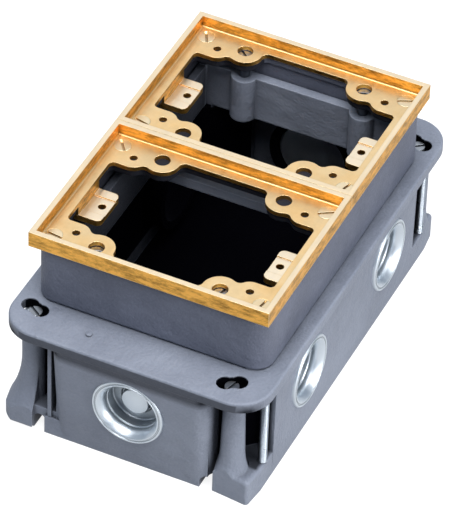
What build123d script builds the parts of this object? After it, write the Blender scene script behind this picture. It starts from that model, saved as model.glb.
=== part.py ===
from build123d import *
import os
from math import cos, hypot, radians, sin, sqrt, tan

# Two-gang cast-iron floor box: drafted base with a telescoping riser and two brass frames.
# Millimetres, Z up, X across the box, Y along it, origin under the middle of the base.

# Brass frames
frame_width = 111.0
frame_pitch = 83.0
frame_joint = 0.16
rim_wall = 2.5
rim_foot_r = 0.8
rim_height = 7.6
floor_drop = 5.4
opening_land = 7.5
access_spacing_x = 57.2
access_spacing_y = 62.8
access_hole_r = 3.5
access_lobe_r = 8.0
cover_spacing_x = 80.5
cover_spacing_y = 54.4
cover_hole_r = 1.75
cover_lobe_r = 6.2
lobe_blend_r = 3.0
opening_corner_r = 2.2
device_spacing = 83.34
device_hole_r = 1.75
tab_drop = 6.7
tab_thickness = 3.0
tab_half_length = 9.8
tab_end_x = 37.8
tab_clearance = 0.4
tab_corner_r = 2.6
tab_channel_half = 5.2
tab_channel_depth = 0.5

# Frame adjusting screws and their retaining clips
frame_screw_spacing_x = 96.2
frame_screw_spacing_y = 65.0
frame_screw_r = 2.08
frame_screw_head_r = 3.9
frame_screw_head_height = 1.6
frame_screw_length = 11.8
frame_clip_r = 3.4
clip_thickness = 0.8
frame_slot_start = 25
frame_slot_step = 47

# Riser
riser_inset_x = 1.4
riser_inset_y = 2.2
riser_height = 29.9
riser_corner_r = 9.0
riser_wall = 3.5
riser_top_thickness = 3.4
riser_opening_grow = 0.8
riser_boss_r = 4.6
riser_boss_depth = 9.9
riser_foot_step = 1.5
riser_foot_height = 1.2

# Riser adjusting screws
riser_screw_r = 2.41
riser_screw_head_r = 3.3
riser_screw_head_height = 1.4
riser_screw_length = 26.0
riser_head_recess = 1.7
riser_clip_r = 3.6
riser_slot_start = 15
riser_slot_step = 61

# Base casting
flange_width = 121.7
flange_length = 205.0
flange_corner_r = 15.6
flange_thickness = 5.0
flange_top = 60.3
flange_edge_r = 1.0
neck_height = 19.0
neck_side_wall = 3.5
neck_end_wall = 4.3
neck_lobe_r = 6.0
neck_bore_depth = 18.0
cross_bar_width = 4.4
cross_bar_height = 5.0
side_wall_bottom = 56.7
side_wall_half = 57.2
side_wall_length = 150.0
side_cove_start = 47.0
cove_roundness = 1.3
side_wall_thickness = 4.7
wall_end_thickness = 3.9
panel_half_width = 36.8
panel_edge_r = 6.5
panel_bottom_y = 96.2
panel_draft = 5.4
band_long_height = 9.8
band_long_end = 41.0
band_short_height = 7.0
band_short_end = 32.5
band_inner_end = 28.0
bottom_thickness = 5.0
roof_thickness = 3.7
cavity_end_half = 30.5
cavity_end_y = 91.5
pocket_depth_y = 68.0
pocket_corner_x = 36.5
pocket_corner_y = 86.0
pocket_wall = 4.0
ledge_height = 12.8
ledge_edge_r = 2.0
ledge_corner_r = 1.5
long_arch_top = 8.4
short_arch_top = 6.2
arch_web_y = 95.0
rib_x = 38.8
rib_thickness = 1.8
rib_setback = 0.3
wide_column_x = 50.4
wide_column_y = 86.4
narrow_column_x = 43.4
narrow_column_y = 90.3
wide_column_r = 5.6
narrow_body_x = 44.6
narrow_body_y = 89.8
narrow_top_r = 4.6
narrow_low_r = 5.9
bell_r = 12.7
bell_height = 8.2
bell_front_y = 97.2
bell_round_r = 2.0
bell_flare_top = 34.0
wide_foot_inner_x = 46.5
foot_corner_x = 55.4
foot_corner_y = 97.6
narrow_foot_inner_x = 38.4
foot_inner_y = 95.8
ledge_flare_r = 8.2
ledge_flare_top = 23.0
wide_wall_end = 71.4
nub_x = -22.5
nub_y = -91.5
nub_r = 1.3
nub_height = 0.8

# Levelling screws in their peanut-shaped holes
level_screw_r = 3.1
level_screw_drop = 2.0
level_screw_lift = 0.6
peanut_r = 3.9
peanut_half = 2.9
peanut_waist = 0.3
wide_peanut_angle = -17.6
narrow_peanut_angle = -30.1
level_slot_start = 40
level_slot_step = 35

# Zinc posts in the corner windows
post_x = 55.2
post_y = 82.2
post_r = 1.95
post_clearance = 0.15

# Conduit hubs and their plugs
hub_r = 16.6
hub_z = 32.5
hub_boss_r = 20.5
hub_length = 14.0
plug_end_plane = 100.6
plug_proud = 1.2
plug_length = 13.6
plug_mouth_r = 11.6
plug_bevel = 1.4
plug_cup_depth = 10.4
plug_disc_r = 6.2
plug_disc_height = 2.6
plug_edge = 1.0

# Grounding screw on its pad in the floor of the cavity
ground_x = 30.0
ground_pad_r = 5.5
ground_pad_height = 4.0
ground_screw_r = 2.41
ground_head_r = 4.6
ground_head_height = 3.0
ground_screw_length = 7.0

# Clearances
running = 0.05
screw_seat = 0.05
slot_width = 1.1
slot_depth = 0.8
neck_clearance = 0.9
eps = 1.0
tiny = 0.01

# Levels and places worked out from the sizes above
opening_width = frame_width - 2 * opening_land
opening_length = frame_pitch - 2 * opening_land
riser_width = frame_width - 2 * riser_inset_x
riser_length = 2 * (frame_pitch - riser_inset_y)
skirt_in_x = riser_width / 2 - riser_wall
tab_root_x = skirt_in_x - tab_clearance
rib_reach_y = panel_bottom_y - rib_setback
neck_top = flange_top + neck_height
riser_top = flange_top + riser_height
rim_top = riser_top + rim_height
frame_floor = rim_top - floor_drop
tab_top = frame_floor - tab_drop
flange_under = flange_top - flange_thickness
cavity_roof = flange_top - roof_thickness
neck_half_x = riser_width / 2 - riser_wall - neck_clearance
neck_half_y = riser_length / 2 - riser_wall - neck_clearance
neck_in_x = neck_half_x - neck_side_wall
neck_in_y = neck_half_y - neck_end_wall
riser_screw_x = access_spacing_x / 2
riser_screw_y = frame_pitch / 2 + access_spacing_y / 2
panel_top_y = panel_bottom_y + flange_under * tan(radians(panel_draft))
gang_y = frame_pitch / 2
SIDES = (1, -1)


def slab(sketch, low, high):
    """A sketch on the ground plane made solid between two levels."""
    return Pos(0, 0, low) * extrude(sketch, high - low, dir=(0, 0, 1))


def disc(x, y, radius, low, high):
    """A plain upright cylinder between two levels."""
    return slab(Pos(x, y) * Circle(radius), low, high)


def block(x, y, low, high):
    """A box between two X values, two Y values and two levels."""
    size = (x[1] - x[0], y[1] - y[0], high - low)
    return Pos((x[0] + x[1]) / 2, (y[0] + y[1]) / 2, (low + high) / 2) * Box(*size)


def outline(points):
    """A flat face through a few corner points."""
    return Polygon(*points, align=None)


def four_way(quarter):
    """A flat face mirrored both ways from the corner points of one quarter."""
    upper = quarter + [(-x, y) for x, y in reversed(quarter)]
    return outline(upper + [(-x, -y) for x, y in upper])


def slotted(screw, top, radius, angle):
    """A screw with a driver slot across its head."""
    cutter = Box(2 * radius + eps, slot_width, 2 * slot_depth)
    return screw - Pos(0, 0, top) * Rot(0, 0, angle) * cutter


def valley_centre():
    """The centre of the hollow between an access lobe and its cover lobe."""
    x1, y1 = access_spacing_x / 2, access_spacing_y / 2
    x2, y2 = cover_spacing_x / 2, cover_spacing_y / 2
    apart = hypot(x2 - x1, y2 - y1)
    reach = access_lobe_r + lobe_blend_r
    forward = (apart**2 + reach**2 - (cover_lobe_r + lobe_blend_r) ** 2) / (2 * apart)
    aside = sqrt(reach**2 - forward**2)
    step_x, step_y = (x2 - x1) / apart, (y2 - y1) / apart
    return x1 + forward * step_x + aside * step_y, y1 + forward * step_y - aside * step_x


def gang_opening(grow):
    """The lobed device opening of one gang, made larger all round by grow."""
    hole = Rectangle(opening_width + 2 * grow, opening_length + 2 * grow)
    big = (access_spacing_x / 2, access_spacing_y / 2)
    small = (cover_spacing_x / 2, cover_spacing_y / 2)
    low_y = small[1] - cover_lobe_r + grow
    pad = Pos(*big) * Circle(access_lobe_r - grow) + Pos(*small) * Circle(cover_lobe_r - grow)
    pad += outline([big, valley_centre(), small]) - Pos(*valley_centre()) * Circle(lobe_blend_r + grow)
    pad += outline([big, small, (small[0], low_y), (frame_width, low_y), (frame_width, frame_width), (big[0], frame_width)])
    pad += mirror(pad, about=Plane.YZ)
    pad += mirror(pad, about=Plane.XZ)
    hole -= pad
    ends = [v for v in hole.vertices() if abs(abs(v.Y) - opening_length / 2 - grow) < tiny]
    hole = fillet(ends, lobe_blend_r)
    corners = [v for v in hole.vertices() if abs(abs(v.X) - opening_width / 2 - grow) < tiny]
    return fillet(corners, opening_corner_r)


def frame_blank(sy):
    """One brass frame: rim, floor and the lobed opening."""
    length = frame_pitch - frame_joint
    blank = slab(Rectangle(frame_width, length), riser_top, rim_top)
    well = slab(Rectangle(frame_width - 2 * rim_wall, length - 2 * rim_wall), frame_floor, rim_top + eps)
    blank -= fillet(well.edges().group_by(Axis.Z)[0], rim_foot_r)
    blank -= slab(gang_opening(0), riser_top - eps, frame_floor + eps)
    return Pos(0, sy * gang_y, 0) * blank


def device_tab(sx):
    """The dropped tab that takes one screw of a wiring device, and the web it hangs on."""
    reach = tab_root_x - tab_end_x
    half = tab_half_length
    plate = RectangleRounded(2 * reach, 2 * half, tab_corner_r)
    plate &= Pos(-reach / 2, 0) * Rectangle(reach, 2 * half)
    tab = slab(Pos(tab_root_x, 0) * plate, tab_top - tab_thickness, tab_top)
    wide = tab_channel_half
    tab -= block((0, opening_width / 2), (-wide, wide), tab_top - tab_channel_depth, tab_top + eps)
    tab += block((opening_width / 2, tab_root_x), (-half, half), tab_top - tab_thickness, frame_floor - eps)
    tab -= disc(device_spacing / 2, 0, device_hole_r, tab_top - 2 * tab_thickness, tab_top + eps)
    return tab if sx > 0 else Rot(0, 0, 180) * tab


def four(spacing_x, spacing_y):
    """The four places of a rectangular pattern about a centre."""
    return [(sx * spacing_x / 2, sy * spacing_y / 2) for sx in SIDES for sy in SIDES]


def screw_cone(radius_top, radius_low, top, height):
    """A countersink or a flat head, with its large end up."""
    return Pos(0, 0, top - height / 2) * Cone(radius_low, radius_top, height)


def brass_frame(sy):
    """A finished frame with tabs, tapped holes, access holes and countersinks."""
    frame = frame_blank(sy)
    for sx in SIDES:
        frame += Pos(0, sy * gang_y, 0) * device_tab(sx)
    low, high = riser_top - eps, frame_floor + eps
    for x, y in four(cover_spacing_x, cover_spacing_y):
        frame -= disc(x, y + sy * gang_y, cover_hole_r, low, high)
    for x, y in four(access_spacing_x, access_spacing_y):
        frame -= disc(x, y + sy * gang_y, access_hole_r, low, high)
    head = frame_screw_head_height
    for x, y in four(frame_screw_spacing_x, frame_screw_spacing_y):
        sink = screw_cone(frame_screw_head_r + screw_seat, frame_screw_r + screw_seat, frame_floor, head)
        frame -= Pos(x, y + sy * gang_y, 0) * sink
        frame -= disc(x, y + sy * gang_y, frame_screw_r + screw_seat, low, high)
    return frame


def frame_screw(x, y, angle):
    """A flat-head adjusting screw, flush with the frame's floor."""
    tip = frame_floor - frame_screw_length
    screw = screw_cone(frame_screw_head_r, frame_screw_r, frame_floor, frame_screw_head_height)
    screw += disc(0, 0, frame_screw_r, tip, frame_floor - frame_screw_head_height)
    return Pos(x, y, 0) * slotted(screw, frame_floor, frame_screw_head_r, angle)


def clip(x, y, outer, bore, top):
    """A flat retaining clip round a screw's shank."""
    return disc(x, y, outer, top - clip_thickness, top) - disc(x, y, bore, top - 2 * eps, top + eps)


def frame_clips(sy):
    """The four clips that hold one frame's screws under its floor."""
    places = four(frame_screw_spacing_x, frame_screw_spacing_y)
    bore = frame_screw_r + running
    return Compound(children=[clip(x, y + sy * gang_y, frame_clip_r, bore, riser_top) for x, y in places])


def frame_screw_places():
    """Every frame screw of the box as (frame side, x, y)."""
    places = four(frame_screw_spacing_x, frame_screw_spacing_y)
    return [(sy, x, y + sy * gang_y) for sy in SIDES for x, y in places]


def riser_screw_places():
    """The four riser screws under the outer access holes."""
    return [(sx * riser_screw_x, sy * riser_screw_y) for sx in SIDES for sy in SIDES]


def riser_outline(inset):
    """The riser's rounded outline, drawn in by an inset."""
    return RectangleRounded(riser_width - 2 * inset, riser_length - 2 * inset, riser_corner_r - inset)


def riser_casting():
    """The sliding riser: a skirt, a lobed top and bosses for the frame screws."""
    outside = slab(riser_outline(0), flange_top, riser_top)
    riser = slab(riser_outline(0), flange_top + riser_foot_height, riser_top)
    riser += slab(riser_outline(riser_foot_step), flange_top, riser_top)
    riser -= slab(riser_outline(riser_wall), flange_top - eps, riser_top - riser_top_thickness)
    for sy, x, y in frame_screw_places():
        riser += disc(x, y, riser_boss_r, riser_top - riser_boss_depth, riser_top) & outside
    for sy in SIDES:
        riser -= slab(Pos(0, sy * gang_y) * gang_opening(riser_opening_grow), flange_top, riser_top + eps)
        half = tab_half_length + tab_clearance
        y = (sy * gang_y - half, sy * gang_y + half)
        riser -= block((-skirt_in_x, skirt_in_x), y, flange_top, riser_top + eps)
    for sy, x, y in frame_screw_places():
        recess = frame_clip_r + riser_opening_grow / 2
        riser -= disc(x, y, recess, riser_top - clip_thickness - running, riser_top + eps)
        riser -= disc(x, y, frame_screw_r + running, flange_top, riser_top + eps)
    for x, y in riser_screw_places():
        riser -= disc(x, y, access_hole_r, riser_top - riser_head_recess, riser_top + eps)
        riser -= disc(x, y, riser_screw_r + running, flange_top, riser_top)
    return riser


def riser_screw(x, y, angle):
    """A cheese-head screw that lifts the riser off the neck."""
    under = riser_top - riser_head_recess
    top = under + riser_screw_head_height
    screw = disc(0, 0, riser_screw_head_r, under, top)
    screw += disc(0, 0, riser_screw_r, under - riser_screw_length, under)
    return Pos(x, y, 0) * slotted(screw, top, riser_screw_head_r, angle)


def riser_clips():
    """The clips that keep the riser screws in the riser's lobes."""
    under = riser_top - riser_top_thickness
    bore = riser_screw_r + running
    return Compound(children=[clip(x, y, riser_clip_r, bore, under) for x, y in riser_screw_places()])


def side_block():
    """The long walls with their draft and the cove up to the flange's edge."""
    half = flange_width / 2
    cove = flange_under - side_cove_start
    lines = Polyline((0, 0), (side_wall_bottom, 0), (side_wall_half, side_cove_start))
    bend = RadiusArc((side_wall_half, side_cove_start), (half, flange_under), cove * cove_roundness)
    close = Polyline((half, flange_under), (0, flange_under), (0, 0))
    profile = make_face(lines + bend + close)
    profile += mirror(profile, about=Plane.YZ)
    face = Plane.XZ * profile
    return Pos(0, side_wall_length / 2, 0) * extrude(face, side_wall_length)


def end_panel():
    """The drafted end panels with rounded upright edges."""
    low, high = panel_bottom_y, panel_top_y
    face = Plane.YZ * outline([(-low, 0), (low, 0), (high, flange_under), (-high, flange_under)])
    panel = Pos(-panel_half_width, 0, 0) * extrude(face, 2 * panel_half_width)
    middle = flange_under / 2
    upright = [e for e in panel.edges() if abs(e.center().Z - middle) < eps and abs(e.center().Y) > low - eps]
    return fillet(upright, panel_edge_r)


def corner_points():
    """The deep pocket's corner points on the side of positive X and Y."""
    inner_x = side_wall_half - wall_end_thickness
    return [(inner_x, pocket_depth_y), (pocket_corner_x, pocket_corner_y)]


def core():
    """The chamfered body behind the end panels."""
    (x1, y1), (x2, y2) = corner_points()
    quarter = [(x1, y1), (x2, y2), (panel_half_width - eps, panel_bottom_y - eps)]
    return slab(four_way(quarter), 0, flange_under)


def pocket_behind_wall(sx, sy):
    """The part of a pocket that reaches in behind the long wall."""
    (x1, y1), (x2, y2) = corner_points()
    end_y = side_wall_length / 2
    x_end = x1 + (x2 - x1) * (end_y - y1) / (y2 - y1)
    corners = [(x1, y1), (x1, end_y + eps), (x_end, end_y + eps), (x_end, end_y)]
    return slab(outline([(sx * x, sy * y) for x, y in corners]), ledge_height, flange_under)


def is_wide(sx, sy):
    """The corners whose column stands further out, the near-left and far-right ones."""
    return sx * sy > 0


def has_bell(sx, sy):
    """The near-left corner, which stands on a bell foot and has no broad ledge."""
    return sx < 0 and sy < 0


def column_place(sx, sy):
    """Where a corner column stands."""
    if is_wide(sx, sy):
        return sx * wide_column_x, sy * wide_column_y
    return sx * narrow_column_x, sy * narrow_column_y


def flare(top_r, top, low_r, low):
    """A hollow-sided flare that leaves the column upright and widens down to a radius."""
    wider, lower = low_r - top_r, top - low
    side = RadiusArc((top_r, top), (low_r, low), -(wider**2 + lower**2) / (2 * wider))
    rest = Polyline((low_r, low), (0, low), (0, top), (top_r, top))
    return revolve(Plane.XZ * make_face(side + rest), Axis.Z)


def column(sx, sy):
    """The column round a levelling screw, drafted where it stands further in."""
    if is_wide(sx, sy):
        return disc(sx * wide_column_x, sy * wide_column_y, wide_column_r, eps, flange_under)
    height = flange_under - eps
    draft = Cone(narrow_low_r, narrow_top_r, height)
    return Pos(sx * narrow_body_x, sy * narrow_body_y, eps + height / 2) * draft


def bell_foot(sx, sy):
    """The bell foot of the near-left corner, cut off flush with the flange and beside the notch."""
    x, y = wide_column_x, wide_column_y
    limit = block((wide_foot_inner_x, flange_width / 2), (wide_wall_end, bell_front_y), 0, flange_under)
    foot = disc(x, y, bell_r, 0, bell_height) & limit
    foot = fillet(foot.edges().group_by(Axis.Z)[0], bell_round_r)
    foot += (Pos(x, y, 0) * flare(wide_column_r, bell_flare_top, bell_r, bell_height)) & limit
    foot -= block((x, flange_width), (wide_wall_end - eps, y), ledge_height, bell_flare_top)
    return Rot(0, 0, 180) * foot if sx < 0 else foot


def ledge_points(inner_x):
    """The corner points of a ledge on the side of positive X and Y."""
    end_y = side_wall_length / 2
    return [
        (side_wall_bottom, end_y - 2 * eps),
        (side_wall_bottom, wide_column_y),
        (foot_corner_x, foot_corner_y),
        (inner_x, foot_inner_y),
        (inner_x, pocket_corner_y - 2 * eps),
        (panel_half_width - eps, end_y - 2 * eps),
    ]


def ledge(sx, sy):
    """The ledge of one corner with its rounded outer edges."""
    points = ledge_points(wide_foot_inner_x if is_wide(sx, sy) else narrow_foot_inner_x)
    if has_bell(sx, sy):
        points = points[:2] + points[4:]
    plate = slab(outline([(sx * x, sy * y) for x, y in points]), 0, ledge_height)
    if has_bell(sx, sy):
        return plate
    upright = [e for e in plate.edges().filter_by(Axis.Z) if abs(e.center().Y) > foot_inner_y + eps]
    plate = fillet(upright, ledge_corner_r)
    rim = [e for e in plate.edges().group_by(Axis.Z)[-1] if abs(e.center().Y) > wide_column_y]
    plate = fillet(rim, ledge_edge_r)
    x, y = (wide_column_x, wide_column_y) if is_wide(sx, sy) else (narrow_body_x, narrow_body_y)
    draft = (narrow_low_r - narrow_top_r) * ledge_flare_top / flange_under
    top_r = wide_column_r if is_wide(sx, sy) else narrow_low_r - draft
    low_r = ledge_flare_r
    skirt = Pos(sx * x, sy * y, 0) * flare(top_r, ledge_flare_top, low_r, ledge_height - ledge_edge_r)
    return plate + (skirt & slab(outline([(sx * px, sy * py) for px, py in points]), 0, flange_under))


def arch(start_x, end_x, top):
    """A round-topped notch under the end, between two X values."""
    radius = (end_x - start_x) / 2
    tunnel = block((start_x, end_x), (pocket_corner_y - 6 * eps, flange_length), -eps, top - radius)
    crown = Rot(90, 0, 0) * Cylinder(radius, flange_length - pocket_corner_y + 6 * eps)
    middle_y = (flange_length + pocket_corner_y - 6 * eps) / 2
    return tunnel + Pos((start_x + end_x) / 2, middle_y, top - radius) * crown


def corner_foot(sx, sy):
    """The foot, ledge, column and rib of one corner, with the notch beside it left open."""
    foot = ledge(sx, sy) + column(sx, sy)
    if has_bell(sx, sy):
        foot += bell_foot(sx, sy)
    if is_wide(sx, sy):
        web = block((panel_half_width - eps, wide_foot_inner_x + eps), (pocket_corner_y - 6 * eps, arch_web_y), 0, ledge_height)
        rib_half = rib_thickness / 2
        web += block((rib_x - rib_half, rib_x + rib_half), (pocket_corner_y - 4 * eps, rib_reach_y), eps, flange_under)
        foot += web if sx > 0 else Rot(0, 0, 180) * web
    return foot


def notch(sx, sy):
    """The notch between a foot and the band under the end panel."""
    if is_wide(sx, sy):
        cut = arch(band_long_end, wide_foot_inner_x, long_arch_top)
        return cut if sx > 0 else Rot(0, 0, 180) * cut
    cut = arch(-narrow_foot_inner_x, -band_short_end, short_arch_top)
    return cut if sx < 0 else Rot(0, 0, 180) * cut


def wall_window(sx, sy):
    """What the long wall leaves open beside a column that stands further out."""
    x = sorted((sx * (side_wall_half - wall_end_thickness - eps), sx * flange_width / 2))
    y = sorted((sy * wide_wall_end, sy * (side_wall_length / 2 + eps)))
    return block(x, y, ledge_height, side_cove_start)


def bottom_band(sy):
    """The square-edged band under an end panel, longer and taller towards the wide column."""
    y = (pocket_corner_y - 2 * eps, panel_bottom_y + running)
    band = block((band_inner_end, band_long_end), y, 0, band_long_height)
    band += block((-band_short_end, -band_inner_end), y, 0, band_short_height)
    return band if sy > 0 else Rot(0, 0, 180) * band


def cavity():
    """The wiring space inside the base."""
    (x1, y1), (x2, y2) = corner_points()
    x_in = side_wall_half - side_wall_thickness
    length = ((x2 - x1) ** 2 + (y2 - y1) ** 2) ** 0.5
    nx, ny = (y2 - y1) / length, (x1 - x2) / length
    ax, ay = x1 - nx * pocket_wall, y1 - ny * pocket_wall
    slope = (y2 - y1) / (x2 - x1)
    quarter = [
        (x_in, ay - (ax - x_in) * slope),
        (cavity_end_half, ay + (cavity_end_half - ax) * slope),
        (cavity_end_half, cavity_end_y),
    ]
    return slab(four_way(quarter), bottom_thickness, cavity_roof)


def hub_places():
    """Every hub as (x, y, angle about Z of its outward direction, plug plane)."""
    side_plane = side_wall_half + plug_proud
    sides = [(sx, sy) for sx in SIDES for sy in SIDES]
    places = [(sx * side_plane, sy * gang_y, 0 if sx > 0 else 180) for sx, sy in sides]
    return places + [(0, sy * plug_end_plane, 90 * sy) for sy in SIDES]


def along(x, y, angle, shape):
    """A shape made along +X from the origin, turned and put at a hub's mouth."""
    return Pos(x, y, hub_z) * Rot(0, 0, angle) * shape


def hub_tube(radius, start, end):
    """A cylinder on the X axis between two distances from a hub's mouth."""
    return Pos((start + end) / 2, 0, 0) * Rot(0, 90, 0) * Cylinder(radius, end - start)


def along_cone(low_r, high_r, start, end):
    """A cone on the X axis that widens from one distance to another."""
    return Pos((start + end) / 2, 0, 0) * Rot(0, 90, 0) * Cone(low_r, high_r, end - start)


def neck():
    """The neck that the riser slides on, with columns for the riser screws."""
    outer_r = riser_corner_r - riser_wall
    walls = slab(RectangleRounded(2 * neck_half_x, 2 * neck_half_y, outer_r), cavity_roof, neck_top)
    inside = Rectangle(2 * neck_in_x, 2 * neck_in_y)
    for x, y in riser_screw_places():
        inside -= Pos(x, y) * Circle(neck_lobe_r)
    bar_y = cross_bar_width / 2
    bar = block((-neck_in_x - eps, neck_in_x + eps), (-bar_y, bar_y), neck_top - cross_bar_height, neck_top)
    return walls, slab(inside, cavity_roof - eps, neck_top + eps), bar


def peanut(sx, sy):
    """The peanut-shaped hole over a levelling screw."""
    x, y = column_place(sx, sy)
    angle = radians(wide_peanut_angle if is_wide(sx, sy) else narrow_peanut_angle)
    dx, dy = peanut_half * cos(angle), peanut_half * sin(angle)
    hole = Circle(level_screw_r + peanut_waist)
    hole += Pos(dx, dy) * Circle(peanut_r)
    hole += Pos(-dx, -dy) * Circle(peanut_r)
    hole = hole if sx > 0 else mirror(hole, about=Plane.YZ)
    hole = hole if sy > 0 else mirror(hole, about=Plane.XZ)
    return slab(Pos(x, y) * hole, flange_under, flange_top + eps)


def box_casting():
    """The whole base casting."""
    corners = [(sx, sy) for sx in SIDES for sy in SIDES]
    body = side_block()
    for sx, sy in corners:
        body -= pocket_behind_wall(sx, sy)
    body += core() + end_panel()
    for sy in SIDES:
        body += bottom_band(sy)
    for sx, sy in corners:
        if is_wide(sx, sy):
            body -= wall_window(sx, sy)
        body += corner_foot(sx, sy)
    for sx, sy in corners:
        body -= notch(sx, sy)
    flange = slab(RectangleRounded(flange_width, flange_length, flange_corner_r), flange_under, flange_top)
    flange = fillet(flange.edges().group_by(Axis.Z)[-1], flange_edge_r)
    walls, inside, bar = neck()
    body += flange + walls + disc(nub_x, nub_y, nub_r, flange_top - eps, flange_top + nub_height)
    body -= cavity()
    body -= inside
    body += bar
    for x, y, angle in hub_places():
        body += along(x, y, angle, hub_tube(hub_boss_r, -hub_length - plug_proud, -3 * plug_proud))
    for x, y, angle in hub_places():
        body -= along(x, y, angle, hub_tube(hub_r, -2 * hub_length, plug_proud + eps))
    for x, y in riser_screw_places():
        body -= disc(x, y, riser_screw_r + running, neck_top - neck_bore_depth, neck_top + eps)
    for sx, sy in corners:
        x, y = column_place(sx, sy)
        body -= peanut(sx, sy)
        body -= disc(x, y, level_screw_r + running, -eps, flange_top + eps)
        body -= disc(sx * post_x, sy * post_y, post_r + post_clearance, ledge_height, flange_under)
    body += disc(ground_x, 0, ground_pad_r, bottom_thickness - eps, bottom_thickness + ground_pad_height)
    ground_top = bottom_thickness + ground_pad_height
    body -= disc(ground_x, 0, ground_screw_r, ground_top - ground_screw_length, ground_top + eps)
    return body


def levelling_screw(sx, sy, angle):
    """A headless slotted screw standing in its column."""
    x, y = column_place(sx, sy)
    top = flange_top - level_screw_drop
    screw = disc(0, 0, level_screw_r, level_screw_lift, top)
    return Pos(x, y, 0) * slotted(screw, top, level_screw_r, angle)


def corner_post(sx, sy):
    """The zinc post that stands between ledge and flange in a corner window."""
    return disc(sx * post_x, sy * post_y, post_r, ledge_height, flange_under)


def plug(x, y, angle):
    """A cup-shaped closure plug with a rounded rim and a raised disc in its floor."""
    body = hub_tube(hub_r - running, -plug_length, 0)
    body = fillet(body.edges().filter_by(GeomType.CIRCLE), plug_edge)
    mouth = hub_tube(plug_mouth_r, -plug_length / 2, eps)
    mouth += along_cone(plug_mouth_r, plug_mouth_r + plug_bevel, -plug_bevel, 0)
    body -= mouth
    body -= hub_tube(plug_mouth_r, -plug_cup_depth, eps)
    disc_top = -plug_cup_depth + plug_disc_height
    boss = hub_tube(plug_disc_r, -plug_cup_depth - plug_edge, disc_top)
    boss = fillet(boss.edges().filter_by(GeomType.CIRCLE).sort_by(Axis.X)[-1], plug_edge)
    return along(x, y, angle, body + boss)


def ground_screw():
    """A hex-head grounding screw on its pad."""
    top = bottom_thickness + ground_pad_height
    head = RegularPolygon(ground_head_r, 6)
    screw = slab(head, top, top + ground_head_height)
    screw += disc(0, 0, ground_screw_r, top - ground_screw_length + running, top)
    return Pos(ground_x, 0, 0) * slotted(screw, top + ground_head_height, ground_head_r, 0)


def corner_name(sx, sy):
    """The words for a corner of the box."""
    return ("rear" if sy > 0 else "front") + ("_right" if sx > 0 else "_left")


def save(shape, name):
    """Write one node."""
    export_step(shape, f"parts/{name}.step")


def main():
    os.makedirs("parts", exist_ok=True)
    save(box_casting(), "box_casting")
    save(riser_casting(), "riser_casting")
    for sy in SIDES:
        end = "rear" if sy > 0 else "front"
        save(brass_frame(sy), f"brass_frame_{end}")
        save(frame_clips(sy), f"frame_screw_clips_{end}")
    for number, (sy, x, y) in enumerate(frame_screw_places()):
        end = "rear" if sy > 0 else "front"
        place = ("outer" if abs(y) > gang_y else "inner") + ("_right" if x > 0 else "_left")
        save(frame_screw(x, y, frame_slot_start + frame_slot_step * number), f"frame_screw_{end}_{place}")
    for number, (x, y) in enumerate(riser_screw_places()):
        save(riser_screw(x, y, riser_slot_start + riser_slot_step * number), "riser_screw_" + corner_name(x, y))
    save(riser_clips(), "riser_screw_clips")
    for number, (sx, sy) in enumerate([(sx, sy) for sx in SIDES for sy in SIDES]):
        save(levelling_screw(sx, sy, level_slot_start + level_slot_step * number), "levelling_screw_" + corner_name(sx, sy))
        save(corner_post(sx, sy), "corner_post_" + corner_name(sx, sy))
    names = ["side_right_rear", "side_right_front", "side_left_rear", "side_left_front", "end_rear", "end_front"]
    for name, (x, y, angle) in zip(names, hub_places()):
        if name != "side_left_rear":
            save(plug(x, y, angle), f"plug_{name}")
    save(ground_screw(), "ground_screw")


main()
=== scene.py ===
from math import cos, pi, radians, sin

import bpy
from mathutils import Euler, Matrix, Vector


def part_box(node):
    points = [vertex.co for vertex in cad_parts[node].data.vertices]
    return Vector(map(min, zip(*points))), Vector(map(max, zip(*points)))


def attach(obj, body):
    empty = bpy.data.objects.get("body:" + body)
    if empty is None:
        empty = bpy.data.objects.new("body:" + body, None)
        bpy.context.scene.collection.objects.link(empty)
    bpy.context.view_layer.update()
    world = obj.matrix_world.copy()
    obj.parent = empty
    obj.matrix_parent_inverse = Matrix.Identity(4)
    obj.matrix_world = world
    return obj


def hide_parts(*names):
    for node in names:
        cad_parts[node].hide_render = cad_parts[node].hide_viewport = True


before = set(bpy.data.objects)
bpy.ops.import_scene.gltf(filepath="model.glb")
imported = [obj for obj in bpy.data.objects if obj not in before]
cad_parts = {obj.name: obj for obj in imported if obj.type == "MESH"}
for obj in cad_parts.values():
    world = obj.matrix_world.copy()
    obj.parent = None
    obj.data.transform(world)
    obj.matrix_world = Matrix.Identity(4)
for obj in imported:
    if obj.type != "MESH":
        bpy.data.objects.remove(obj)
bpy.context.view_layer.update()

# Camera: a long lens about two metres off, looking down on the box's front right corner.
# Its place was worked out from the straight edges and the drilled holes of the real box.
rim_top = 0.0978
view_turn = radians(-24.03)
view_height = radians(41.73)
view_roll = radians(2.12)
view_distance = 1.9772
aim_right, aim_up = 0.00362, 0.04343
sensor_width = 36
focal_length = 371.5
nearest_seen, furthest_seen = 0.05, 20
skyward = Vector((0, 0, 1))
towards = Vector((-sin(view_turn) * cos(view_height), -cos(view_turn) * cos(view_height), sin(view_height)))
level_right = (-towards).cross(skyward).normalized()
level_up = level_right.cross(-towards)
lens_right = cos(view_roll) * level_right + sin(view_roll) * level_up
lens_up = cos(view_roll) * level_up - sin(view_roll) * level_right
lens_place = towards * view_distance - lens_right * aim_right - lens_up * aim_up + skyward * rim_top
lens_axes = Matrix((lens_right, lens_up, towards)).transposed().to_4x4()
lens = bpy.data.cameras.new("lens")
lens.sensor_fit = "HORIZONTAL"
lens.sensor_width = sensor_width
lens.lens = focal_length
lens.clip_start = nearest_seen
lens.clip_end = furthest_seen
camera = bpy.data.objects.new("camera", lens)
camera.matrix_world = Matrix.Translation(lens_place) @ lens_axes
bpy.context.collection.objects.link(camera)
bpy.context.scene.camera = camera

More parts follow.
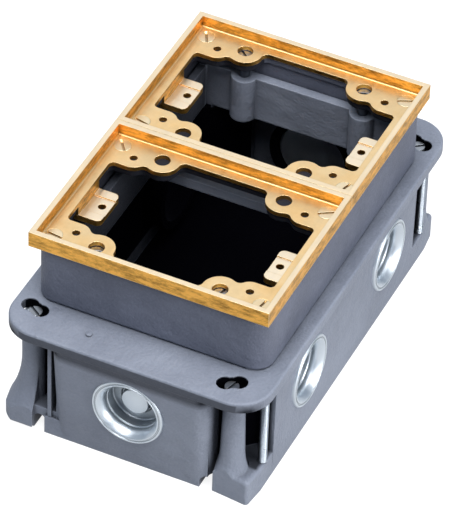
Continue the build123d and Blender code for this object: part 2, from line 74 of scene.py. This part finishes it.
# Studio: a white sweep lit from beneath, so that nothing casts a shade on it, one soft panel overhead,
# one at the box's right, a broad dim one behind that the brass reflects, and a little blue light all round.
paper_width = 8
paper_colour = (0.25, 0.25, 0.25, 1)
paper_roughness = 0.9
glow_on_box = (0.37, 0.37, 0.37, 1)
glow_in_lens = (0.86, 0.86, 0.86, 1)
box_middle = Vector((0, 0, 0.05))
sky_colour = (0.62, 0.79, 1.0, 1)
sky_strength = 0.3
# A mix node has a pair of inputs for each kind of value, and these are the sockets for colours.
FIRST_COLOUR, SECOND_COLOUR, MIXED_COLOUR = 6, 7, 2


def add_mix(tree, share, first, second):
    """Two colours mixed by a share; each is a socket or a colour."""
    mix = tree.nodes.new("ShaderNodeMix")
    mix.data_type = "RGBA"
    tree.links.new(share, mix.inputs["Factor"])
    for number, colour in ((FIRST_COLOUR, first), (SECOND_COLOUR, second)):
        if isinstance(colour, tuple):
            mix.inputs[number].default_value = colour
        else:
            tree.links.new(colour, mix.inputs[number])
    return mix.outputs[MIXED_COLOUR]


def soft_light(name, size, power, place):
    """A square area light that faces the middle of the box."""
    lamp = bpy.data.lights.new(name, "AREA")
    lamp.size = size
    lamp.energy = power
    holder = bpy.data.objects.new(name, lamp)
    aim = box_middle - Vector(place)
    holder.matrix_world = Matrix.Translation(place) @ aim.to_track_quat("-Z", "Y").to_matrix().to_4x4()
    bpy.context.collection.objects.link(holder)


bpy.ops.mesh.primitive_plane_add(size=paper_width, location=(0, 0, 0))
paper = bpy.context.object
paper.name = "paper"
paper_look = bpy.data.materials.new("lit_paper")
paper_look.use_nodes = True
paper_tree = paper_look.node_tree
paper_shader = paper_tree.nodes["Principled BSDF"]
paper_shader.inputs["Base Color"].default_value = paper_colour
paper_shader.inputs["Roughness"].default_value = paper_roughness
paper_shader.inputs["Emission Strength"].default_value = 1
# The lens sees the paper as white, while the box gets less than half of that glow from beneath.
seen = paper_tree.nodes.new("ShaderNodeLightPath").outputs["Is Camera Ray"]
paper_glow = add_mix(paper_tree, seen, glow_on_box, glow_in_lens)
paper_tree.links.new(paper_glow, paper_shader.inputs["Emission Color"])
paper.data.materials.append(paper_look)

soft_light("overhead_panel", size=1.8, power=61, place=(0.15, -0.5, 2.1))
soft_light("right_panel", size=1.1, power=34, place=(2.0, -0.28, 0.7))
soft_light("back_panel", size=3.0, power=19, place=(-0.75, 1.7, 1.75))
studio = bpy.data.worlds.new("studio")
studio.use_nodes = True
studio.node_tree.nodes["Background"].inputs["Color"].default_value = sky_colour
studio.node_tree.nodes["Background"].inputs["Strength"].default_value = sky_strength
bpy.context.scene.world = studio
bpy.context.scene.view_settings.view_transform = "Standard"

# Box casting: sand-cast iron under a semi-gloss blue-grey enamel, which rounds over the
# grain of the mould, with painted shade darkening it in its creases and hollows.
bevel_samples, corner_samples = 6, 8


def new_look(name):
    """A material, with its node tree, its shader and its object coordinates."""
    look = bpy.data.materials.new(name)
    look.use_nodes = True
    tree = look.node_tree
    place = tree.nodes.new("ShaderNodeTexCoord").outputs["Object"]
    return look, tree, tree.nodes["Principled BSDF"], place


def dress(look, *names):
    """CAD nodes that take this finish."""
    for name in names:
        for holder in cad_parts[name].material_slots:
            holder.material = look


def new_effect(name, inputs, outputs):
    """An empty node group with named sockets, each given as (name, kind)."""
    effect = bpy.data.node_groups.new(name, "ShaderNodeTree")
    for word, kind in inputs:
        effect.interface.new_socket(word, in_out="INPUT", socket_type="NodeSocket" + kind)
    for word, kind in outputs:
        effect.interface.new_socket(word, in_out="OUTPUT", socket_type="NodeSocket" + kind)
    return effect, effect.nodes.new("NodeGroupInput"), effect.nodes.new("NodeGroupOutput")


def use_effect(tree, effect, place=None, **values):
    """One node that puts an effect in a material, with its own values."""
    node = tree.nodes.new("ShaderNodeGroup")
    node.node_tree = effect
    if place:
        tree.links.new(place, node.inputs["Place"])
    for word, value in values.items():
        node.inputs[word].default_value = value
    return node


def add_noise(tree, place, scale, detail, roughness=0.5):
    """A noise texture's value, with about this many grains to the metre."""
    noise = tree.nodes.new("ShaderNodeTexNoise")
    noise.inputs["Detail"].default_value = detail
    noise.inputs["Roughness"].default_value = roughness
    noise.inputs["Scale"].default_value = scale
    tree.links.new(place, noise.inputs["Vector"])
    return noise.outputs["Fac"]


def add_math(tree, action, first, second):
    """One arithmetic node; each term is a socket or a number."""
    node = tree.nodes.new("ShaderNodeMath")
    node.operation = action
    for socket, term in zip(node.inputs, (first, second)):
        if isinstance(term, (int, float)):
            socket.default_value = term
        else:
            tree.links.new(term, socket)
    return node.outputs["Value"]


def add_range(tree, value, given, wanted=(0, 1)):
    """A value carried from one (start, end) to another, held at the ends."""
    node = tree.nodes.new("ShaderNodeMapRange")
    tree.links.new(value, node.inputs["Value"])
    for word, number in zip(("From Min", "From Max", "To Min", "To Max"), (*given, *wanted)):
        node.inputs[word].default_value = number
    return node.outputs["Result"]


def add_bump(tree, shader, height, distance, edge_radius):
    """The height made a bump on the shader's normal, over edges rounded to a radius."""
    rounded = tree.nodes.new("ShaderNodeBevel")
    rounded.samples = bevel_samples
    rounded.inputs["Radius"].default_value = edge_radius
    bump = tree.nodes.new("ShaderNodeBump")
    bump.inputs["Distance"].default_value = distance
    tree.links.new(rounded.outputs["Normal"], bump.inputs["Normal"])
    tree.links.new(height, bump.inputs["Height"])
    tree.links.new(bump.outputs["Normal"], shader.inputs["Normal"])


# The skin of the enamel: sand grains on slow waves as height, and faint patches in colour and shine.
sand_scale, wave_scale, patch_scale = 900, 130, 26
wave_height = 2.5
sand_in_patches = 0.35
patch_span = (0.5, 0.85)
shine_span, shine_roughness = (0.3, 0.7), (0.44, 0.58)
cast_skin, group_in, group_out = new_effect(
    "cast_skin",
    [("Place", "Vector"), ("Pale", "Color"), ("Dark", "Color")],
    [("Colour", "Color"), ("Height", "Float"), ("Shine", "Float")],
)
place = group_in.outputs["Place"]
sand = add_noise(cast_skin, place, sand_scale, detail=3)
waves = add_noise(cast_skin, place, wave_scale, detail=2)
patches = add_noise(cast_skin, place, patch_scale, detail=4, roughness=0.6)
height = add_math(cast_skin, "ADD", sand, add_math(cast_skin, "MULTIPLY", waves, wave_height))
mottle = add_math(cast_skin, "ADD", patches, add_math(cast_skin, "MULTIPLY", sand, sand_in_patches))
share = add_range(cast_skin, mottle, patch_span)
colour = add_mix(cast_skin, share, group_in.outputs["Dark"], group_in.outputs["Pale"])
shine = add_range(cast_skin, patches, shine_span, shine_roughness)
cast_skin.links.new(colour, group_out.inputs["Colour"])
cast_skin.links.new(height, group_out.inputs["Height"])
cast_skin.links.new(shine, group_out.inputs["Shine"])

# Painted shade lies where a piece's own surfaces shut out the light, within a reach.
shut_in, open_face = 0.35, 0.92
painted_crevice_shade, group_in, group_out = new_effect("painted_crevice_shade", [("Reach", "Float")], [("CornerShade", "Float")])
corners = painted_crevice_shade.nodes.new("ShaderNodeAmbientOcclusion")
corners.samples = corner_samples
corners.only_local = True
painted_crevice_shade.links.new(group_in.outputs["Reach"], corners.inputs["Distance"])
corner_shade = add_range(painted_crevice_shade, corners.outputs["AO"], (shut_in, open_face), (1, 0))
painted_crevice_shade.links.new(corner_shade, group_out.inputs["CornerShade"])

# Edges take wear and a painted highlight where a normal rounded over a reach turns from the surface's own.
flat_face, sharp_edge = 0.99, 0.85
wear_and_highlight_edge, group_in, group_out = new_effect("wear_and_highlight_edge", [("Reach", "Float")], [("WearAndHighlight", "Float")])
rounded = wear_and_highlight_edge.nodes.new("ShaderNodeBevel")
rounded.samples = bevel_samples
likeness = wear_and_highlight_edge.nodes.new("ShaderNodeVectorMath")
likeness.operation = "DOT_PRODUCT"
own_normal = wear_and_highlight_edge.nodes.new("ShaderNodeNewGeometry").outputs["Normal"]
wear_and_highlight_edge.links.new(group_in.outputs["Reach"], rounded.inputs["Radius"])
wear_and_highlight_edge.links.new(rounded.outputs["Normal"], likeness.inputs[0])
wear_and_highlight_edge.links.new(own_normal, likeness.inputs[1])
wear_and_highlight = add_range(wear_and_highlight_edge, likeness.outputs["Value"], (flat_face, sharp_edge))
wear_and_highlight_edge.links.new(wear_and_highlight, group_out.inputs["WearAndHighlight"])

# The box is painted dark as shade in its hollows, screw holes and throat sides, under the flange's ends,
# on the flange's end edges and on the riser's top under the frames. Each is given by how near and far it
# lies across the box, along it and up it, then by how dark it is and how far its edge fades.
no_limit = 1
crisp = 0.0004
hollows = {
    "wiring_space": ((-no_limit, 0.0527), (-no_limit, 0.0725), (0.0020, 0.0566), 1.0, crisp),
    "end_space": ((-no_limit, 0.0307), (-no_limit, 0.0917), (0.0020, 0.0566), 1.0, crisp),
    "corner_pocket": ((-no_limit, 0.0560), (-no_limit, 0.0890), (0.0116, 0.0560), 1.0, 0.0016),
    "screw_hole": ((0.0360, 0.0568), (0.0810, 0.0972), (0.0520, 0.0600), 1.0, crisp),
    "throat_side": ((0.0440, 0.0525), (-no_limit, 0.0705), (0.0566, 0.0905), 0.7, crisp),
    "flange_end_edge": ((-no_limit, 0.0560), (0.1013, no_limit), (0.0540, 0.0593), 0.6, crisp),
    "under_flange": ((-no_limit, 0.0600), (0.0870, 0.1040), (0.0478, 0.0600), 0.85, 0.0040),
    "under_frames": ((-no_limit, 0.0490), (-no_limit, 0.0757), (0.0840, 0.0926), 0.75, crisp),
}
hollow_shade, group_in, group_out = new_effect("hollow_shade", [("Place", "Vector")], [("Depth", "Float")])
axes = hollow_shade.nodes.new("ShaderNodeSeparateXYZ")
hollow_shade.links.new(group_in.outputs["Place"], axes.inputs["Vector"])
across = add_math(hollow_shade, "ABSOLUTE", axes.outputs["X"], 0)
along = add_math(hollow_shade, "ABSOLUTE", axes.outputs["Y"], 0)
depth = None
for *reaches, darkness, fade in hollows.values():
    inside = None
    for value, (low, high) in zip((across, along, axes.outputs["Z"]), reaches):
        for given in ((low, low + fade), (high, high - fade)):
            part = add_range(hollow_shade, value, given)
            inside = part if inside is None else add_math(hollow_shade, "MULTIPLY", inside, part)
    inside = add_math(hollow_shade, "MULTIPLY", inside, darkness)
    depth = inside if depth is None else add_math(hollow_shade, "MAXIMUM", depth, inside)
hollow_shade.links.new(depth, group_out.inputs["Depth"])

# Edges are made paler over a short reach, for thinner worn enamel and as painted highlight.
wear_and_highlight_reach, wear_and_highlight_share, thin_coat_and_highlight = 0.0009, 0.5, 1.5
# Reaches and shares of the painted shade in creases and wide corners, and its near-black colour.
near_shade_reach, near_shade_share = 0.003, 0.85
wide_shade_reach, wide_shade_share = 0.014, 0.7
painted_shade_black = (0.004, 0.004, 0.007, 1)
enamel_specular = 0.32
hollow_roughness = 0.95
skin_height = 0.0003
enamel_edge = 0.0010


def enamel_look(name, pale, dark):
    """Semi-gloss enamel on sand-cast iron, with near-black painted shade in its creases and hollows."""
    look, tree, shader, place = new_look(name)
    skin = use_effect(tree, cast_skin, place, Pale=pale, Dark=dark)
    depth = use_effect(tree, hollow_shade, place).outputs["Depth"]
    wear_and_highlight = use_effect(tree, wear_and_highlight_edge, Reach=wear_and_highlight_reach).outputs["WearAndHighlight"]
    # Paler edges: worn, thinner enamel and a painted highlight.
    pale_edge = tuple(thin_coat_and_highlight * part for part in pale[:3]) + (1,)
    coat = add_mix(tree, add_math(tree, "MULTIPLY", wear_and_highlight, wear_and_highlight_share), skin.outputs["Colour"], pale_edge)
    # Painted shade in hollows, creases and corners darkens the coat towards near black.
    share = depth
    for reach, most in ((near_shade_reach, near_shade_share), (wide_shade_reach, wide_shade_share)):
        corner_shade = use_effect(tree, painted_crevice_shade, Reach=reach).outputs["CornerShade"]
        share = add_math(tree, "MAXIMUM", share, add_math(tree, "MULTIPLY", corner_shade, most))
    tree.links.new(add_mix(tree, share, coat, painted_shade_black), shader.inputs["Base Color"])
    dulled = add_math(tree, "MULTIPLY", depth, hollow_roughness)
    roughness = add_math(tree, "MAXIMUM", skin.outputs["Shine"], dulled)
    tree.links.new(roughness, shader.inputs["Roughness"])
    # The painted shade is also made metallic, so that it reflects almost nothing and looks black.
    tree.links.new(depth, shader.inputs["Metallic"])
    shader.inputs["Specular IOR Level"].default_value = enamel_specular
    add_bump(tree, shader, skin.outputs["Height"], skin_height, enamel_edge)
    return look


base_enamel = enamel_look("base_enamel", pale=(0.232, 0.254, 0.310, 1), dark=(0.172, 0.190, 0.238, 1))
dress(base_enamel, "box_casting")

# Riser casting: the same iron with a darker grey enamel, so the step between it and the base shows.
# It is cast in sand as the base is, and slides over the base's neck.
riser_enamel = enamel_look("riser_enamel", pale=(0.132, 0.144, 0.190, 1), dark=(0.090, 0.099, 0.134, 1))
dress(riser_enamel, "riser_casting")

# Brass frames: cast brass with milled floors and rims. The mill leaves fine lines along the box.
# The walls are a deeper gold, partly the casting's own and partly painted shade.
line_scale, stain_scale, spot_scale = 60, 60, 130
upright, level_face = 0.2, 0.9
stain_span, stained_brightness = (0.25, 0.6), (0.6, 1)
spot_span = (0.42, 0.68)
spot_stretch = (1, 1, 3.5)
spots_on_tops = 0.12
# Tones and reaches of the stains, the painted shade, the painted glints and the painted light on rim tops.
stain_and_shade_tone, glint_tone = 0.22, 1.12
corner_shade_share = 0.8
glint_reach = 0.0005
glint_span = (0, 0.3)
level_fade = 0.0004
highlight_on_rim = 0.7
painted_light_brass = (1.0, 0.84, 0.62, 1)
line_span, line_roughness = (0.3, 0.7), 0.08
line_height = 0.00003
metal_edge = 0.0003


def metal_look(name, bright, deep, roughness, grain, spotting=0.0, painted_light_levels=None, reach=0.002):
    """Machined metal: lighter tops, painted edge glints, painted corner shade and spotted walls."""
    look, tree, shader, place = new_look(name)
    stretch = tree.nodes.new("ShaderNodeMapping")
    stretch.inputs["Scale"].default_value = grain
    tree.links.new(place, stretch.inputs["Vector"])
    lines = add_noise(tree, stretch.outputs["Vector"], line_scale, detail=3, roughness=0.6)
    stains = add_noise(tree, place, stain_scale, detail=3, roughness=0.6)
    normal = tree.nodes.new("ShaderNodeSeparateXYZ")
    tree.links.new(tree.nodes.new("ShaderNodeNewGeometry").outputs["Normal"], normal.inputs["Vector"])
    # Tops are bright and walls deep: partly the metal's own finish, partly painted light and shade.
    up = add_range(tree, normal.outputs["Z"], (upright, level_face))
    share = add_math(tree, "MULTIPLY", up, add_range(tree, stains, stain_span, stained_brightness))
    clean = add_mix(tree, share, deep, bright)
    flat = tree.nodes.new("ShaderNodeMapping")
    flat.inputs["Scale"].default_value = spot_stretch
    tree.links.new(place, flat.inputs["Vector"])
    spots = add_noise(tree, flat.outputs["Vector"], spot_scale, detail=5, roughness=0.75)
    most_spots = add_range(tree, up, (0, 1), (spotting, spots_on_tops * spotting))
    walls = add_math(tree, "MULTIPLY", add_range(tree, spots, spot_span), most_spots)
    # Painted shade in the corners and stains on the walls darken the metal towards a darker tone.
    corner_shade = use_effect(tree, painted_crevice_shade, Reach=reach).outputs["CornerShade"]
    stains_and_shade = add_math(tree, "MAXIMUM", walls, add_math(tree, "MULTIPLY", corner_shade, corner_shade_share))
    stain_and_shade_colour = tuple(stain_and_shade_tone * part for part in deep[:3]) + (1,)
    aged = add_mix(tree, stains_and_shade, clean, stain_and_shade_colour)
    # The tops of the tabs and rims are painted lighter, as painted light and highlight.
    if painted_light_levels:
        tab_top, rim_foot = painted_light_levels
        level = tree.nodes.new("ShaderNodeSeparateXYZ")
        tree.links.new(place, level.inputs["Vector"])
        on_tabs = add_range(tree, level.outputs["Z"], (tab_top + level_fade, tab_top))
        on_rim = add_range(tree, level.outputs["Z"], (rim_foot - level_fade, rim_foot), (0, highlight_on_rim))
        pale = add_math(tree, "MULTIPLY", add_math(tree, "MAXIMUM", on_tabs, on_rim), up)
        aged = add_mix(tree, pale, aged, painted_light_brass)
    # Open edges get a painted glint, kept out of the shaded corners.
    wear_and_highlight = use_effect(tree, wear_and_highlight_edge, Reach=glint_reach).outputs["WearAndHighlight"]
    open_edge = add_math(tree, "MULTIPLY", wear_and_highlight, add_range(tree, corner_shade, glint_span, (1, 0)))
    glint = tuple(min(1, glint_tone * part) for part in bright[:3]) + (1,)
    tree.links.new(add_mix(tree, open_edge, aged, glint), shader.inputs["Base Color"])
    polished, brushed = roughness - line_roughness, roughness + line_roughness
    tree.links.new(add_range(tree, lines, line_span, (polished, brushed)), shader.inputs["Roughness"])
    shader.inputs["Metallic"].default_value = 1
    add_bump(tree, shader, lines, line_height, metal_edge)
    return look


brass_look = metal_look(
    "milled_brass",
    bright=(0.93, 0.68, 0.37, 1),
    deep=(0.96, 0.51, 0.11, 1),
    roughness=0.40,
    grain=(12, 1, 12),
    spotting=0.9,
    painted_light_levels=(0.0870, 0.0972),
)
dress(brass_look, "brass_frame_front", "brass_frame_rear")

# Frame screws: turned brass, brighter than the frames, with flat slotted heads.
# They are turned from bar, so they have none of the long lines that the mill leaves on the frames.
turned_brass = metal_look(
    "turned_brass",
    bright=(0.97, 0.80, 0.54, 1),
    deep=(0.80, 0.50, 0.18, 1),
    roughness=0.36,
    grain=(2, 2, 1),
)
frame_screws = [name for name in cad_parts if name.startswith("frame_screw_") and "clips" not in name]
dress(turned_brass, *frame_screws)

# Steel parts: levelling and riser screws, spring steel clips and the green grounding screw.
# The screws are plain turned steel, painted dark as shade for the holes they sit in.
along_shank = (1, 1, 6)
shade_dark_steel = metal_look(
    "shade_dark_steel",
    bright=(0.42, 0.44, 0.47, 1),
    deep=(0.12, 0.13, 0.15, 1),
    roughness=0.36,
    grain=along_shank,
)
dress(shade_dark_steel, *[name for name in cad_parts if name.startswith(("levelling", "riser_screw_"))])
spring_steel = metal_look(
    "spring_steel",
    bright=(0.5, 0.5, 0.5, 1),
    deep=(0.4, 0.4, 0.4, 1),
    roughness=0.35,
    grain=along_shank,
)
dress(spring_steel, "riser_screw_clips", "frame_screw_clips_front", "frame_screw_clips_rear")
green_zinc = metal_look(
    "green_zinc",
    bright=(0.10, 0.35, 0.14, 1),
    deep=(0.08, 0.28, 0.12, 1),
    roughness=0.35,
    grain=along_shank,
)
dress(green_zinc, "ground_screw")

# Corner posts: zinc-plated threaded studs between the ledges and the flange. One turn of the thread is
# drawn as a single tooth, wound up the stud with a screw sweep and closed at both ends.
thread_pitch = 0.79375e-3
crest_radius, root_radius = 0.00195, 0.00150
thread_steps = 20
thread_crease = radians(30)


def wind_tooth(root, crest, pitch, turns):
    """A tooth from root to crest and back, wound up +Z and closed at both ends."""
    bpy.ops.object.select_all(action="DESELECT")
    bpy.ops.mesh.primitive_plane_add(size=pitch, location=(0, 0, 0))
    thread = bpy.context.object
    bpy.ops.object.mode_set(mode="EDIT")
    bpy.ops.mesh.select_all(action="SELECT")
    bpy.ops.mesh.merge(type="CENTER")
    bpy.ops.mesh.select_all(action="SELECT")
    bpy.ops.transform.translate(value=(root, 0, 0))
    for out in (crest - root, root - crest):
        bpy.ops.mesh.extrude_region_move(TRANSFORM_OT_translate={"value": (out, 0, pitch / 2)})
    bpy.ops.object.mode_set(mode="OBJECT")
    sweep = thread.modifiers.new("thread", "SCREW")
    sweep.axis = "Z"
    sweep.steps = thread_steps
    sweep.render_steps = thread_steps
    sweep.screw_offset = pitch
    sweep.iterations = turns
    bpy.ops.object.modifier_apply(modifier=sweep.name)
    bpy.ops.object.mode_set(mode="EDIT")
    bpy.ops.mesh.select_all(action="SELECT")
    bpy.ops.mesh.remove_doubles(threshold=pitch / 100)
    bpy.ops.mesh.fill_holes(sides=0)
    bpy.ops.mesh.select_all(action="SELECT")
    bpy.ops.mesh.normals_make_consistent(inside=False)
    bpy.ops.object.mode_set(mode="OBJECT")
    bpy.ops.object.shade_smooth_by_angle(angle=thread_crease)
    return thread


def set_copy(master, name, place, turn=(0, 0, 0)):
    """A copy of a finished piece, turned and set in its place, with its origin left at the frame's."""
    bpy.ops.object.select_all(action="DESELECT")
    piece = master.copy()
    piece.data = master.data.copy()
    piece.name = name
    bpy.context.collection.objects.link(piece)
    piece.rotation_euler = turn
    piece.location = place
    piece.select_set(True)
    bpy.context.view_layer.objects.active = piece
    bpy.ops.object.transform_apply(location=True, rotation=True, scale=True)
    return piece


# The thread roots darken with painted shade over a short reach.
zinc_plate = metal_look(
    "zinc_plate",
    bright=(0.66, 0.71, 0.77, 1),
    deep=(0.58, 0.63, 0.69, 1),
    roughness=0.34,
    grain=along_shank,
    reach=0.0008,
)
low, high = (Vector(corner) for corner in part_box("corner_post_front_right"))
post_turns = round((high.z - low.z) / thread_pitch) - 1
post_master = wind_tooth(root_radius, crest_radius, thread_pitch, post_turns)
post_master.data.materials.append(zinc_plate)
for post in ("front_left", "front_right", "rear_left", "rear_right"):
    low, high = (Vector(corner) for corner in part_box(f"corner_post_{post}"))
    length = thread_pitch * round((high.z - low.z) / thread_pitch)
    foot = ((low.x + high.x) / 2, (low.y + high.y) / 2, (low.z + high.z - length) / 2)
    piece = set_copy(post_master, f"threaded_post_{post}", foot)
    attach(piece, "base")
    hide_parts(f"corner_post_{post}")
bpy.data.objects.remove(post_master)

# Closure plugs: bright zinc cups, each turned from one piece with a thin rolled lip, a groove behind it,
# a bevelled mouth and a raised disc in its floor. One is turned here and copied into each hub.
plug_sides = 72
plug_crease = radians(40)
# The outline runs from the back of the cup round its lip to the disc, each point as (radius, height).
plug_outline = (
    (0.01555, -0.0136), (0.01655, -0.0126), (0.01655, -0.0007), (0.01635, -0.0002),
    (0.0160, 0), (0.0156, -0.0001), (0.01535, -0.0005), (0.0149, -0.0005),
    (0.0147, -0.0001), (0.0144, 0), (0.0139, -0.0003), (0.0127, -0.0022),
    (0.0121, -0.0032), (0.01195, -0.0048), (0.0122, -0.0052), (0.0122, -0.0056),
    (0.01175, -0.0060), (0.0116, -0.0100), (0.0112, -0.0104), (0.0076, -0.0104),
    (0.0074, -0.0112), (0.0066, -0.0112), (0.0064, -0.0082), (0.0060, -0.0078),
)
back_radius, back_height = plug_outline[0]
bpy.ops.object.select_all(action="DESELECT")
bpy.ops.mesh.primitive_circle_add(
    vertices=plug_sides, radius=back_radius, fill_type="NGON", location=(0, 0, 0)
)
plug_master = bpy.context.object
bpy.ops.object.mode_set(mode="EDIT")
bpy.ops.mesh.select_all(action="SELECT")
bpy.ops.transform.translate(value=(0, 0, back_height))
for (radius, height), (next_radius, next_height) in zip(plug_outline, plug_outline[1:]):
    bpy.ops.mesh.extrude_region_move(TRANSFORM_OT_translate={"value": (0, 0, next_height - height)})
    shrink = next_radius / radius
    bpy.ops.transform.resize(value=(shrink, shrink, 1), center_override=(0, 0, 0))
bpy.ops.mesh.select_all(action="SELECT")
bpy.ops.mesh.normals_make_consistent(inside=False)
bpy.ops.object.mode_set(mode="OBJECT")
bpy.ops.object.shade_smooth_by_angle(angle=plug_crease)
# The cup is darkened towards its floor by painted shade that reaches across the whole cup.
plug_zinc = metal_look(
    "plug_zinc",
    bright=(0.80, 0.85, 0.90, 1),
    deep=(0.74, 0.80, 0.86, 1),
    roughness=0.42,
    grain=(2, 2, 2),
    reach=0.010,
)
plug_master.data.materials.append(plug_zinc)
quarter = pi / 2
plug_turns = {
    "side_right_rear": (0, quarter, 0),
    "side_right_front": (0, quarter, 0),
    "side_left_front": (0, -quarter, 0),
    "end_rear": (-quarter, 0, 0),
    "end_front": (quarter, 0, 0),
}
for hub, turn in plug_turns.items():
    low, high = (Vector(corner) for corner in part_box(f"plug_{hub}"))
    outward = Euler(turn).to_matrix() @ skyward
    half_length = abs(outward.dot(high - low)) / 2
    mouth = (low + high) / 2 + outward * half_length
    piece = set_copy(plug_master, f"closure_plug_{hub}", mouth, turn)
    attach(piece, f"plug_{hub}")
    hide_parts(f"plug_{hub}")
bpy.data.objects.remove(plug_master)
